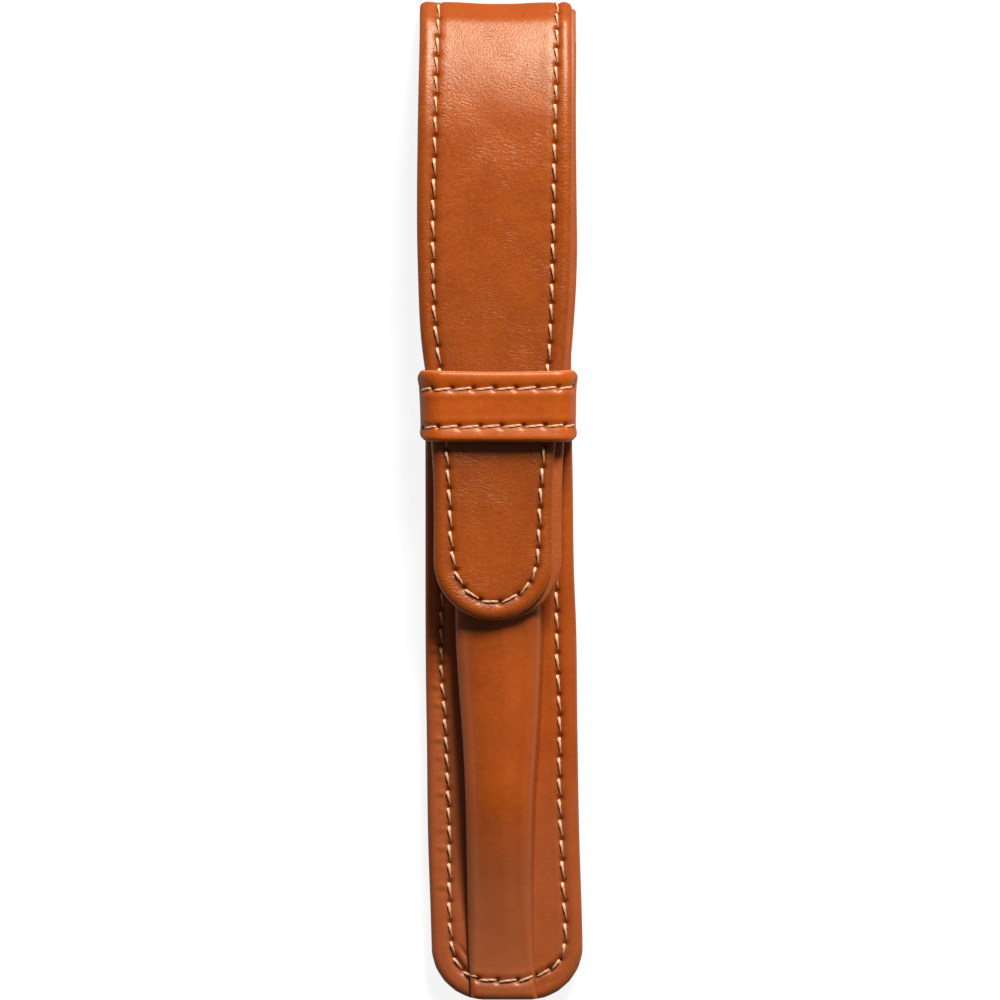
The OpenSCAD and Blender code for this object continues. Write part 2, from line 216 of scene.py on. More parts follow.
def border(rows, cols):
    """Index pairs once round a grid, back to the start."""
    return (
        [(0, j) for j in range(cols)]
        + [(i, cols - 1) for i in range(1, rows)]
        + [(rows - 1, j) for j in range(cols - 2, -1, -1)]
        + [(i, 0) for i in range(rows - 2, -1, -1)]
    )


def u_border(rows, cols):
    """Index pairs once round a U-shaped grid whose last column is its middle line."""
    return (
        [(i, 0) for i in range(rows)]
        + [(rows - 1, j) for j in range(1, cols)]
        + [(0, j) for j in range(cols - 2, -1, -1)]
    )


def slab(name, top, low, path, rows, cols, place, layer, seam=None, bulge=0.12, flat=(), painted_sheen=None):
    """Closed sheet: fine grid `top` and the coarser grid `low` under it, both [x, s, h].
    rows and cols pick the points of top that low has; flat is the part of path with cut ends."""
    index = np.arange(top.shape[0] * top.shape[1]).reshape(top.shape[:2])
    low_index = np.full(top.shape[:2], -1)
    under_index = index.size + np.arange(low[..., 0].size).reshape(low.shape[:2])
    low_index[np.ix_(rows, cols)] = under_index
    points = [top.reshape(-1, 3), low.reshape(-1, 3)]
    # The face's marks are the painted sheen given, if any; the sides and flesh side take edge paint
    face_marks = np.zeros(index.size) if painted_sheen is None else np.ravel(painted_sheen)
    marks = [face_marks, np.full(under_index.size, 0.6)]
    faces = grid_faces(index) + grid_faces(under_index)
    upper = np.array([top[p] for p in path])
    picked = [k for k, p in enumerate(path) if low_index[p] >= 0]
    corners = [path[k] for k in picked]
    under = np.array([low[np.searchsorted(rows, i), np.searchsorted(cols, j)] for i, j in corners])
    ends = np.array([np.interp(np.arange(len(path)), picked, under[:, c]) for c in range(3)]).T
    run = np.roll(upper[:-1, :2], -1, 0) - np.roll(upper[:-1, :2], 1, 0)
    run = run / np.maximum(np.linalg.norm(run, axis=1), 1e-9)[:, None]
    out = columns(run[:, 1], -run[:, 0])
    x, s = upper[:-1, 0], upper[:-1, 1]
    turn = np.sign((x * np.roll(s, -1) - np.roll(x, -1) * s).sum())
    out = join([out, out[:1]]) * turn
    swell = np.full(len(path), bulge)
    turns = len(path) - 1
    for k0, k1 in flat:
        swell[k0 + 1 : k1] = 0
        out[k0], out[k1] = out[(k0 - 1) % turns], out[(k1 + 1) % turns]
    ring = [int(index[p]) for p in path]
    count = index.size + under_index.size
    for share in (0.2, 0.5, 0.8):
        level = mix(upper, ends, share)
        level[:, :2] += out * (swell * math.sin(math.pi * share))[:, None]
        level[-1] = level[0]
        points.append(level)
        marks.append(np.where(swell > 0, 1.0, 0.4))
        fresh = [count + k for k in range(len(path))]
        faces += [(ring[k], ring[k + 1], fresh[k + 1], fresh[k]) for k in range(len(path) - 1)]
        count += len(path)
        ring = fresh
    faces += zipper(ring, [int(low_index[path[k]]) for k in picked], range(len(path)), picked)
    points = join(points)
    marks = join(marks)
    edge = np.array([p for k, p in enumerate(path) if swell[k] > 0]).reshape(-1, 2)
    if len(edge):
        marks[index[edge[:, 0], edge[:, 1]]] = 0.8
    # The face's painted shade, kept in the seam attribute
    sewn = np.zeros(len(points))
    if seam is not None:
        sewn[: index.size] = np.ravel(seam)
    rest = points.copy()
    rest[:, 2] = rest[:, 2] * 0.5 + layer
    return make(name, place(points), faces, rest, marks, sewn)


def spread(a, b, step):
    return np.linspace(a, b, max(2, int(math.ceil(abs(b - a) / step)) + 1))


def flat_place(p):
    return p


# --- the strap's side view
# Lean and length of the parts between the level flap and the fold
TAIL_A, SLOPE_A, CREASE_A, FACET_A = np.radians([5.0, 30.0, 45.0, 48.0])
TAIL_L, CREASE_L, FACET_L = 12.0, 1.1, 3.3
mid_crease, mid_facet = (SLOPE_A + CREASE_A) / 2, (CREASE_A + FACET_A) / 2
slope_r, fold_r = np.linalg.solve(
    [
        [math.cos(TAIL_A) - math.cos(SLOPE_A), 1 + math.cos(FACET_A)],
        [math.sin(SLOPE_A) - math.sin(TAIL_A), 1 - math.sin(FACET_A)],
    ],
    [
        Z_FACE - TAIL_L * math.sin(TAIL_A / 2)
        - CREASE_L * math.sin(mid_crease) - FACET_L * math.sin(mid_facet),
        Y_TOP - Y_LEVEL - CREASE_L * math.cos(mid_crease) - FACET_L * math.cos(mid_facet),
    ],
)
slope_l, fold_l = slope_r * (SLOPE_A - TAIL_A), fold_r * (math.pi - FACET_A)
knots_s = np.cumsum([0, slope_l, CREASE_L, FACET_L, fold_l])
# Step along a side view, and the number of steps over which its bends are softened
LINE_STEP, SOFT = 0.02, 25
line_s = np.arange(-90, 60, LINE_STEP)
lean = np.interp(line_s, [-TAIL_L, *knots_s], [0, TAIL_A, SLOPE_A, CREASE_A, FACET_A, math.pi])
lean = np.convolve(np.pad(lean, SOFT // 2, mode="edge"), np.ones(SOFT) / SOFT, "valid")
line_y = np.cumsum(np.cos(lean)) * LINE_STEP
line_z = -np.cumsum(np.sin(lean)) * LINE_STEP
line_y += Y_LEVEL - np.interp(0, line_s, line_y)
line_z += Z_FACE - np.interp(-TAIL_L, line_s, line_z)
S_FOLD = knots_s[4]
S_BACK = S_FOLD + (np.interp(S_FOLD, line_s, line_y) - Y_BACK)
# Thickness left at the fold, and how far the top edge's two ends stand above its middle
THIN, BOW_L, BOW_R = 0.82, 0.27, 0.2


def thinning(s):
    """The sheet is pressed thinner round the tight fold."""
    return 1 - (1 - THIN) * ease((s - knots_s[2]) / 2.5) * ease((S_FOLD + 3.5 - s) / 3)


def strap_place(p):
    """From [x, length along the strap, height off its face] to the shared frame."""
    s, h = p[:, 1], p[:, 2] * thinning(p[:, 1])
    y, z, a = (np.interp(s, line_s, line) for line in (line_y, line_z, lean))
    x = p[:, 0]
    ends = BOW_L * ease((-1 - x) / 7) + BOW_R * ease((x - 1) / 7)
    y = y + ends * ease((s - 13) / 8) * ease((S_BACK - 1 - s) / 4)
    return columns(x, y + h * np.sin(a), z + h * np.cos(a))


# --- outlines and seams
leather_left = curve(
    (84, -12.75), (76, -12.8), (69, -12.95), (60, -13.1), (50, -13.2), (42, -13.15), (36.6, -13.0),
    (33.3, -12.9), (30, -12.75), (26.6, -12.5), (23.3, -12.1), (21.7, -11.86), (9.3, -10.84),
    (3.5, -10.5), (0, -10.44), (-9.8, -10.44),
)
leather_right = curve(
    (84, 12.17), (41.5, 12.14), (34.9, 11.94), (28.3, 11.51), (21.7, 10.96), (15, 10.15),
    (9.3, 9.5), (3.5, 9.1), (0, 9.02), (-9.8, 9.02),
)
lining_left = curve(
    (84, -12.15), (41.5, -12.14), (34.9, -11.94), (28.3, -11.51), (21.7, -10.96), (9.3, -9.94),
    (3.5, -9.65), (0, -9.56), (-9.8, -9.55),
)
lining_right = curve(
    (84, 12.86), (58, 12.88), (48, 12.98), (41.5, 13.04), (34.9, 12.84), (28.3, 12.41),
    (21.7, 11.86), (9.3, 10.84), (3.5, 10.55), (0, 10.47), (-9.8, 10.45),
)
seam_left = curve(
    (82, -9.68), (73.6, -10.0), (64, -10.2), (50, -10.54), (42, -10.62), (32, -10.44),
    (28.4, -10.2), (25, -9.75), (21.7, -9.42), (8.1, -8.42), (0, -8.03), (-8.6, -7.58),
)
seam_right = curve(
    (82, 9.93), (72, 9.78), (61.5, 9.52), (48, 9.35), (40, 9.15), (32.4, 8.99), (26, 8.7),
    (22.7, 8.4), (8.4, 7.53), (5.3, 7.2), (-0.5, 6.87), (-8.5, 6.54),
)
body_left = curve(
    (76, -12.7), (61.5, -12.85), (49.5, -12.42), (30, -12.05), (15.7, -11.86), (3.5, -11.83),
    (-29.6, -11.75), (-39.6, -11.6), (-56.1, -11.39), (-68.5, -10.96), (-74, -10.8),
)
body_right = curve(
    (76, 12.15), (61.5, 12.1), (49.5, 12.25), (30, 12.1), (15.7, 12.15), (3.5, 12.36),
    (-13.1, 12.61), (-19.7, 12.89), (-36.2, 13.11), (-56.1, 13.46), (-69.4, 13.89), (-73.9, 14.0),
)
pocket_left = curve(
    (49.5, -9.5), (12, -9.15), (-15.6, -9.15), (-29.8, -9.15), (-33.7, -8.75), (-39.4, -8.5),
    (-45.4, -8.25), (-54, -7.95), (-66, -7.9), (-71, -7.8), (-74.3, -7.5),
)
pocket_right = curve(
    (49.5, 9.75), (12, 9.8), (-12.7, 9.85), (-19, 9.87), (-29.1, 10.05), (-32.4, 10.25),
    (-49.8, 10.35), (-56.6, 10.65), (-63.8, 10.9), (-70.7, 11.35), (-75, 11.15),
)
channel_left = curve(
    (49.5, -6.95), (-18.4, -6.95), (-23, -6.87), (-31.3, -6.37), (-40.4, -5.71), (-49.5, -5.3),
    (-57.8, -5.13), (-69.4, -4.97), (-75.2, -4.8), (-82, -4.39),
)
channel_right = curve(
    (49.5, 7.1), (-18, 7.15), (-23, 7.12), (-31.3, 6.87), (-41.2, 6.37), (-49.5, 5.85),
    (-57.8, 5.71), (-66, 5.71), (-74.3, 5.88), (-82.3, 6.5),
)
# Bottom corners: power of their curve, then [middle x, middle y, radius] of each
CORNER = 1.94
CORNER_L = (-2.3, -74.0, 8.5)
CORNER_R = (5.4, -73.9, 8.6)


def body_edge(side, y, inset=0.0):
    """X of the body's left (-1) or right (1) edge, moved in by inset, with its rounded corner."""
    cx, cy, r = CORNER_L if side < 0 else CORNER_R
    edge = body_left if side < 0 else body_right
    t = np.clip((cy - y) / (r - inset), 0, 1)
    round_x = (abs(float(edge(cy)) - cx) - inset) * (1 - t**CORNER) ** (1 / CORNER)
    return np.where(y > cy, edge(y) - side * inset, cx + side * round_x)


def corner_rows(inset, step):
    """Places down a corner that are even along its curve."""
    cy, r = CORNER_R[1], CORNER_R[2] - inset
    a = spread(0, math.pi / 2, step / r)[1:]
    return cy - r * np.sin(a)


# --- surface relief
# Radius and drop of a worn edge; depth and width of a seam's valley and of a stitch hole;
# height of the ridge beside an edge, its distance from it, and how strong the painted shade in a
# seam's valley is
ROLL_R, ROLL_DROP = 1.3, 0.65
VALLEY, VALLEY_W = 0.17, 0.55
HOLE, HOLE_W = 0.55, 0.36
RIDGE, CREST, VALLEY_SHADE = 0.12, 1.2, 0.45


def roll(d, r=ROLL_R, drop=ROLL_DROP):
    """Drop of a worn, rounded edge at a distance d from it."""
    u = np.clip(1 - d / r, 0, 1)
    return drop * (1 - np.sqrt(np.maximum(1 - u * u, 0)))


def waves(x, s, seed):
    """Unevenness of worn leather in three sizes."""
    return (
        0.07 * noise(x / 9, s / 9, seed)
        + 0.025 * noise(x / 3.1, s / 3.1, seed + 1)
        + 0.010 * noise(x / 1.2, s / 1.2, seed + 2)
    )


def relief(x, s, d_edge, d_seam, holes, seed, drop=ROLL_DROP, r=ROLL_R, ridge=RIDGE, line=VALLEY_SHADE,
           crest=CREST):
    """Height of the dressed leather off its plain face, and its painted shade in the seam's valley,
    round the seam and in the stitch holes.
    """
    h = waves(x, s, seed) * ease(d_edge / 2)
    h = h - roll(d_edge, r, drop)
    valley = bell(d_seam, VALLEY_W)
    h = h - VALLEY * valley + 0.05 * bell(d_seam - 1.15, 0.5) + ridge * bell(d_edge - crest, 0.8)
    punched = spot_field(x, s, holes, HOLE_W)
    pulled = spot_field(x, s, holes, 0.9)
    h = h - HOLE * np.minimum(punched, 1) - 0.07 * np.minimum(pulled, 1)
    return h, np.clip(line * valley + 0.17 * bell(d_seam, 2.4) + 0.9 * punched, 0, 1)


def ribs(edge, seam, axis, inner_step=1.0, seam_step=0.22, reach=0.8):
    """Grid of points [x, s] from each edge point over its seam point to its axis point."""
    full = np.linalg.norm(axis - edge, axis=1)
    inset = np.minimum(np.linalg.norm(seam - edge, axis=1), full - 1)
    rim = np.array([0, 0.08, 0.2, 0.38, 0.6, 0.85, 1.15, 1.5])
    zone = np.arange(-reach, reach + seam_step / 2, seam_step)
    inner = spread(0, 1, inner_step / full.max())[1:]
    d = join([
        np.minimum(rim, np.maximum(inset - reach - 0.1, 0.3)[:, None] * rim / rim[-1]),
        inset[:, None] + zone,
        mix((inset + reach)[:, None], full[:, None], inner),
    ], axis=1)
    way = (axis - edge) / full[:, None]
    return edge[:, None] + d[..., None] * way[:, None], d, d - inset[:, None]


def plain_ribs(edge, axis, step):
    """Grid of points from each edge point to its axis point."""
    full = np.linalg.norm(axis - edge, axis=1)
    wide = full.max()
    inner = spread(0, 1, step / wide)[1:] * (wide - 0.6) + 0.6
    u = join([[0, 0.1, 0.3, 0.6], inner]) / wide
    return edge[:, None] + (axis - edge)[:, None] * u[:, None], full[:, None] * u


def unsewn(xs, d):
    """Grids of a sheet without a seam, as if its seam were far away."""
    return xs, d, np.full(d.shape, 9.0)


def both(left, right):
    """Grids of one band from those of its left and right halves."""
    return [join([a, b[:, -2::-1]], axis=1) for a, b in zip(left, right)]


def thin(count, every):
    """Every so many of a row's indices, and its last."""
    picked = list(range(0, count, every))
    return picked if picked[-1] == count - 1 else picked + [count - 1]


def sheet(name, grids, z_top, z_low, place, layer, holes, seed, u_shape=False, drop=ROLL_DROP,
          r=ROLL_R, every=(5, 4), up=1, painted_shade=None, **finish):
    """One layer of leather from its ribs. up is -1 where its dressed face looks down, the given
    shade function paints shade on it along its length s, and a value in finish may be a function of
    s."""
    xs, d_edge, d_seam = grids
    x, s = xs[..., 0], xs[..., 1]
    finish = {key: value(s) if callable(value) else value for key, value in finish.items()}
    h, sewn = relief(x, s, d_edge, d_seam, holes, seed, drop, r, **finish)
    # Painted shade along the sheet, such as the keeper's shadow on the tongue
    if painted_shade is not None:
        sewn = np.clip(sewn + painted_shade(s), 0, 1)
    top = columns(x, s, z_top + up * h)
    rows, cols = thin(x.shape[0], every[0]), thin(x.shape[1], every[1])
    pick = np.ix_(rows, cols)
    low = columns(x[pick], s[pick], np.full(x[pick].shape, z_low))
    path = (u_border if u_shape else border)(*x.shape)
    n, c = x.shape
    if u_shape:
        cuts = [(n - 1, len(path) - 1)]
    else:
        cuts = [(0, c - 1), (c + n - 2, 2 * c + n - 3)]
    return slab(name, top, low, path, rows, cols, place, layer, sewn, flat=cuts)


# --- thread
def chain(centres):
    """Holes before, between and after a row of stitch centres."""
    c = np.asarray(centres, float)
    ends = [1.5 * c[0] - 0.5 * c[1]], [1.5 * c[-1] - 0.5 * c[-2]]
    return join([ends[0], (c[1:] + c[:-1]) / 2, ends[1]])


# Plies of the thread, sides and steps of each; a ply's radius, distance from the middle, flatness
PLIES, SIDES, STEPS = 3, 6, 11
PLY_R, PLY_OFF, PLY_FLAT = 0.112, 0.088, 0.6
ply_index = np.arange(STEPS * SIDES).reshape(STEPS, SIDES)
PLY_FACES = grid_faces(np.hstack([ply_index, ply_index[:, :1]]))
PLY_FACES += [ply_index[0, ::-1].tolist(), ply_index[-1].tolist()]
# Share of an upright stitch at which its bead is highest, and at which it has gone in
HEAD, TAIL = 0.28, 0.82
# Depth of the thread's middle under the leather's face
SINK = 0.12


def thread(name, rows, place, layer, base, rise=0.26, slant=0.2, up=1, width=1.0, seed=3):
    """Twisted stitches from hole to hole along each row; base(x, s) is the face under them."""
    points, faces, rest, tail_shade = [], [], [], []
    q = np.linspace(-1, 1, STEPS)
    ring = np.arange(SIDES) * 2 * math.pi / SIDES
    count = 0
    dice = np.random.default_rng(seed)
    for holes in rows:
        for k in range(len(holes) - 1):
            a, b = np.array(holes[k]), np.array(holes[k + 1])
            run = b - a
            size = np.hypot(*run)
            run = run / size
            side = np.array([-run[1], run[0]])
            tilt = slant * dice.uniform(0.8, 1.2)
            fat = width * dice.uniform(0.93, 1.07)
            turn0 = dice.uniform(0, 2 * math.pi)
            reach = size / 2 - 0.16 + dice.uniform(-0.04, 0.04)
            centre = (a + b) / 2 + dice.uniform(-0.04, 0.04, 2)
            line = centre + np.outer(q * reach, run) + np.outer(q * tilt, side)
            ground = base(line[:, 0], line[:, 1])
            along = run[1] ** 2
            t = (1 - q * np.sign(run[1] or 1)) / 2
            before, after = np.maximum(HEAD - t, 0) / HEAD, np.maximum(t - HEAD, 0) / (TAIL - HEAD)
            bead = 1 - before**2.5 - after**2
            lying, upright = 0.7 * rise * (1 - abs(q) ** 3), 1.35 * rise * bead
            arch = mix(lying, upright, along) - 0.42 * abs(q) ** 9
            taper = mix(1.05 - 0.22 * abs(q) ** 4, 1.35 - 0.85 * ease((t - 0.15) / 0.7), along)
            # Painted shade: share of the darker tail colour, towards the lower end of an upright
            # stitch and over a level one, more at its ends
            pale = mix(0.55 + 0.3 * abs(q) ** 4, ease((t - 0.1) / 0.7), along)
            for ply in range(PLIES):
                turn = turn0 + ply * 2 * math.pi / PLIES + q * 2.6
                off = PLY_OFF * fat * taper
                mid_x = line + (off * np.cos(turn))[:, None] * side
                mid_h = ground + up * (arch - 0.03 + off * PLY_FLAT * np.sin(turn))
                r = PLY_R * fat * taper
                px = mid_x[:, None] + (r[:, None] * np.cos(ring))[..., None] * side
                ph = mid_h[:, None] + r[:, None] * PLY_FLAT * np.sin(ring)
                points.append(np.dstack([px, ph]).reshape(-1, 3))
                fibre = np.broadcast_arrays(ply + 0.37 * count, (q * reach)[:, None], ring)
                rest.append(columns(*fibre).reshape(-1, 3))
                tail_shade.append(np.repeat(pale, SIDES))
                faces += [[count + v for v in face] for face in PLY_FACES]
                count += STEPS * SIDES
    points = join(points)
    rest = join(rest)
    rest[:, 0] += layer
    return make(name, place(points), faces, rest, rim=join(tail_shade), sharp=180)


def level(h):
    """Face under stitches that lie on a plain sheet."""
    return lambda x, s: np.full(np.shape(x), h)


# --- strap: crown, flap and tongue
def y_of(s):
    """Place that the outline curves use for a length along the strap."""
    return np.where(s < 0, Y_LEVEL + s, np.minimum(np.interp(s, line_s, line_y), Y_TOP))


def seam_x(side, s):
    """X of the left (-1) or right (1) seam at a length along the strap."""
    y = np.where(s > S_FOLD, np.interp(s, line_s, line_y), y_of(s))
    return (seam_left if side < 0 else seam_right)(y)


# Pitch of the flap's left and right stitches, and the place of one of them
PITCH_L, START_L = 3.47, 0.46
PITCH_R, START_R = 3.31, 2.62
# Middles of the tongue's stitches as placed in the picture; its pixels in a millimetre, its
# column at x = 0 and its row at the top fold
TONGUE_SEAM = [
    (447.4, 459), (448.6, 478.5), (450, 499.5), (450.4, 520), (451.4, 540.5), (453, 560.5),
    (457.8, 580), (470.5, 596), (489, 604.5), (510.5, 600.5), (526.5, 589.5), (534.5, 576),
    (538.2, 558), (539.2, 539), (540, 518.5), (540.2, 498), (542, 477.5), (544, 458.5),
]
PX, PICTURE_X, PICTURE_Y = 6.042, 497.5, 2.5


def side_row(side, start, pitch):
    """Middles of the stitches up one side of the flap and over the fold."""
    s = start + pitch * np.arange(-29, 60)
    s = s[(s > s_low) & (s < S_BACK + 4)]
    return columns(seam_x(side, s), s)


tongue_centres = np.array([
    ((x - PICTURE_X) / PX, Y_TOP - (y - PICTURE_Y) / PX - Y_LEVEL) for x, y in TONGUE_SEAM
])
s_low = tongue_centres[0, 1] + 2.0
travel = join([
    side_row(-1, START_L, PITCH_L)[::-1], tongue_centres, side_row(1, START_R, PITCH_R),
])
strap_holes = chain(travel)
s_crown, s_tongue = Y_CROWN - Y_LEVEL, Y_TONGUE - Y_LEVEL


def strap_band(sides, s0, s1, step, seamed=True):
    """Ribs across the strap from s0 to s1; sides are the curves of its two edges."""
    s = spread(s0, s1, step)
    y = y_of(s)
    if not seamed:
        axis = columns((sides[0](y) + sides[1](y)) / 2, s)
        halves = [plain_ribs(columns(edge(y), s), axis, 2.0) for edge in sides]
        return unsewn(*both(*halves))
    axis = columns((seam_x(-1, s) + seam_x(1, s)) / 2, s)
    halves = [
        ribs(columns(edge(y), s), columns(seam_x(side, s), s), axis)
        for edge, side in zip(sides, (-1, 1))
    ]
    return both(*halves)


def tip_ribs(sides, y_end, r_low, step, seam_tip=None):
    """Ribs down the tongue's left side, round its tip and up its right side. The tip starts at
    y_end and is r_low long; seam_tip is [x, y, radius] of the seam's own round end."""
    left, right = sides
    cy = y_end - Y_LEVEL
    s = spread(s_tongue, cy, step)
    y = s + Y_LEVEL
    a = spread(math.pi, 2 * math.pi, step / r_low)[1:-1]
    x0, x1 = left(y_end), right(y_end)
    r_x, mid_x = (x1 - x0) / 2, (x1 + x0) / 2
    tip = columns(mid_x + r_x * np.cos(a), cy + r_low * np.sin(a))
    edge = join([columns(left(y), s), tip, columns(right(y), s)[::-1]])
    mid = columns((seam_left(y) + seam_right(y)) / 2, s)
    mid[-1] = (mid_x, cy)
    mid[:, 0] = mix(mid[:, 0], mid_x, ease((12 - y) / 20))
    axis = join([mid, np.repeat(mid[-1:], len(a), 0), mid[::-1]])
    if seam_tip is None:
        return unsewn(*plain_ribs(edge, axis, 2.0))
    sx, sy, seam_r = seam_tip
    round_end = columns(sx + seam_r * np.cos(a), sy - Y_LEVEL + seam_r * np.sin(a))
    seam = join([
        columns(seam_left(y), s), round_end, columns(seam_right(y), s)[::-1],
    ])
    return ribs(edge, seam, axis)


def painted_keeper_shade(s):
    """Painted shade: the keeper's shadow on the tongue below it, fading down the tongue,
    and a darker band on the flap above the keeper.
    """
    y = s + Y_LEVEL
    near = 0.5 * bell(y - 9.5, 6.0) + 0.75 * bell(y - 8.6, 2.4)
    return near + 0.2 * bell(y - 1, 6) + 0.22 * bell(y - 26, 15)


# Each layer of the strap: edges, steps of crown and flap, tip, and how the sheet is made
strap_layers = (
    ("leather", (leather_left, leather_right), (0.3, 0.3), (-9.8, 9.85, 0.3, (-0.6, -9.75, 7.1)),
     {"z_top": 0.0, "z_low": -LEATHER, "layer": 0, "holes": strap_holes, "seed": 11}),
    ("lining", (lining_left, lining_right), (0.5, 0.6), (-9.7, 9.95, 0.6),
     {"z_top": -LEATHER - LAYER_GAP, "z_low": -SHEET, "layer": 9, "holes": [], "seed": 21,
      "drop": 0.3, "r": 0.5, "every": (2, 1)}),
)
strap = {}
for layer, sides, steps, tip, look in strap_layers:
    sewn = layer == "leather"
    # Painted shade of the keeper's shadow, on the outer leather only
    keeper_shade = painted_keeper_shade if sewn else None
    for piece, grids, more in (
        ("crown", strap_band(sides, s_crown, S_BACK, steps[0], sewn), {}),
        ("flap", strap_band(sides, s_tongue, s_crown, steps[1], sewn), {"painted_shade": keeper_shade}),
        ("tongue", tip_ribs(sides, *tip), {"painted_shade": keeper_shade, "u_shape": True}),
    ):
        name = f"{piece}_{layer}"
        strap[name] = sheet("strap_" + name, grids, place=strap_place, **look, **more)

for piece, s0, s1 in (
    ("crown", s_crown, S_BACK), ("flap", s_tongue, s_crown), ("tongue", -99, s_tongue),
):
    rows = [strap_holes[k : k + 2] for k, c in enumerate(travel) if s0 <= c[1] < s1]
    name = piece + "_stitches"
    strap[name] = thread("strap_" + name, rows, strap_place, 70, level(-SINK), seed=len(piece))

# --- pocket front with its pen channel
# Rise of the pen channel, its rise at the foot, where it starts to sink and over what length
RISE, LOW_RISE, SINK_Y, SINK_L = 5.0, 1.2, -45.0, 33.0
# Thickness, tuck of the left wall, spread of the right one, radii and turns of the top edges
POCKET_T, TUCK, FOOT, EDGE_L, EDGE_R = 1.2, 0.8, 0.6, 2.3, 2.6
TURN_L, TURN_R = math.radians(52), math.radians(68)
# Recess under the margins that takes the keeper's ends
NOTCH_UP, NOTCH_X, KEEPER_LOW, KEEPER_TOP = 0.65, 9.0, 9.8, 21.6


def channel_rise(y):
    return mix(RISE, LOW_RISE, ease((SINK_Y - y) / SINK_L))


def column_table(step):
    """Kind and place of every column of the pocket's section, from left to right.
    Kinds: 0 margin, 1 wall and 2 edge on the left, 3 roof, then 4 edge, 5 wall and 6 margin."""
    margin = spread(0, 1, step / 3.4)[:-1]
    wall = spread(0, 1, 0.16)[:-1]
    arc = spread(0, 1, 0.125)[:-1]
    roof = spread(0, 1, step / 10.6)[:-1]
    strips = (margin, wall, arc, roof, arc, wall, [*margin, 1.0])
    return np.repeat(np.arange(7), [len(u) for u in strips]), join(strips)


def section(y, kind, u, t, inside):
    """Points [x, y, z] of the pocket's cross-section at each y, t in from its outside."""
    y = np.asarray(y, float)[:, None]
    up = channel_rise(y)
    share = up / RISE
    left, right = channel_left(y) + t, channel_right(y) - t
    top = Z_MARGIN + up - t
    low = Z_SEAM + 0.02 + 0 * y if inside else Z_MARGIN + 0 * y
    tuck, foot = TUCK * share, FOOT * share
    r_l, r_r = np.minimum(EDGE_L, 1.25 * up), np.minimum(EDGE_R, 0.95 * up)
    xl, xr = body_edge(-1, y[:, 0])[:, None], body_edge(1, y[:, 0])[:, None]
    if inside:
        closing = ease((y + 79.5) / 2.5)
        top = np.maximum(mix(low, top, closing), low)
        r_l, r_r = r_l * closing * 0.5, r_r * closing * 0.5
    run_l, fall_l = r_l * math.sin(TURN_L), r_l * (1 - math.cos(TURN_L))
    run_r, fall_r = r_r * math.sin(TURN_R), r_r * (1 - math.cos(TURN_R))
    a_l, a_r = (1 - u) * TURN_L, u * TURN_R
    x = np.choose(kind, [
        mix(xl, left + tuck, u),
        mix(left + tuck, left, u * (2 - u)),
        left + run_l - r_l * np.sin(a_l),
        mix(left + run_l, right - run_r, u),
        right - run_r + r_r * np.sin(a_r),
        mix(right, right + foot, u * u),
        mix(right + foot, xr, u),
    ])
    bow = 0.75 * share * (1 - (1 - u) ** 2.4) - 0.55 * share * ease((u - 0.6) / 0.4)
    lift = 0.2 * share
    z = np.choose(kind, [
        low, mix(low, top - fall_l, u), top - r_l * (1 - np.cos(a_l)), top + bow,
        top + lift - r_r * (1 - np.cos(a_r)), mix(top + lift - fall_r, low, u), low,
    ])
    x, z = (v.copy() for v in np.broadcast_arrays(x, z))
    half = len(kind) // 2
    for i in range(len(y)):
        for side, edge in ((1, xl[i, 0]), (-1, xr[i, 0])):
            cols = np.arange(half) if side > 0 else np.arange(len(kind) - 1, half, -1)
            past = np.nonzero((x[i, cols] - edge) * side < -1e-6)[0]
            if len(past):
                k0, k1 = cols[past[-1]], cols[past[-1]] + side
                t_cross = (edge - x[i, k0]) / (x[i, k1] - x[i, k0])
                z[i, cols[: past[-1] + 1]] = mix(z[i, k0], z[i, k1], t_cross)
                x[i, cols[: past[-1] + 1]] = edge
    if inside:
        notch = (abs(x) > NOTCH_X) & (y > KEEPER_LOW) & (y < KEEPER_TOP)
        z = z + NOTCH_UP * notch
    return columns(x, np.broadcast_to(y, x.shape), z)


# Rows on both sides of each end of the recess, so that its steps are sharp
notch_y = [KEEPER_TOP + 0.05, KEEPER_TOP - 0.05, KEEPER_LOW + 0.05, KEEPER_LOW - 0.05]
pocket_y = join([
    spread(Y_MOUTH, notch_y[0], 0.9), notch_y[1:2],
    spread(KEEPER_TOP - 0.6, KEEPER_LOW + 0.5, 0.9), notch_y[2:3],
    spread(notch_y[3], CORNER_R[1], 0.32), corner_rows(0, 0.32),
])
fine_kind, fine_u = column_table(0.13)
top = section(pocket_y, fine_kind, fine_u, 0.0, False)

# Stitches of the pocket: uneven ones low on the left, even ones above them and on the right
LEFT_PITCH, RIGHT_PITCH, ROW_TOP = 3.0, 3.43, 49
LEFT_ROW = [
    -74.3, -71.35, -68.15, -64.7, -61.5, -58.35, -55.25, -52.1, -49.25, -46.45, -43.3, -40.35,
    -37.5, -34.5,
]
y_l = join([LEFT_ROW, np.arange(LEFT_ROW[-1] + LEFT_PITCH, ROW_TOP, LEFT_PITCH)])[::-1]
y_r = np.arange(-75.0, ROW_TOP, RIGHT_PITCH)
bottom_seam = [
    (-6.9, -76.7), (-4.7, -78.95), (-1.7, -79.4), (1.75, -79.5), (4.9, -79.3), (7.6, -78.2),
    (9.9, -77.1),
]
pocket_centres = join([
    columns(pocket_left(y_l), y_l), bottom_seam, columns(pocket_right(y_r), y_r),
])
pocket_holes = chain(pocket_centres)
outline_y = join([spread(Y_MOUTH, CORNER_R[1], 2.0), corner_rows(0, 0.6)])
outline = join([
    columns(body_edge(-1, outline_y), outline_y),
    columns(body_edge(1, outline_y), outline_y)[::-1],
])
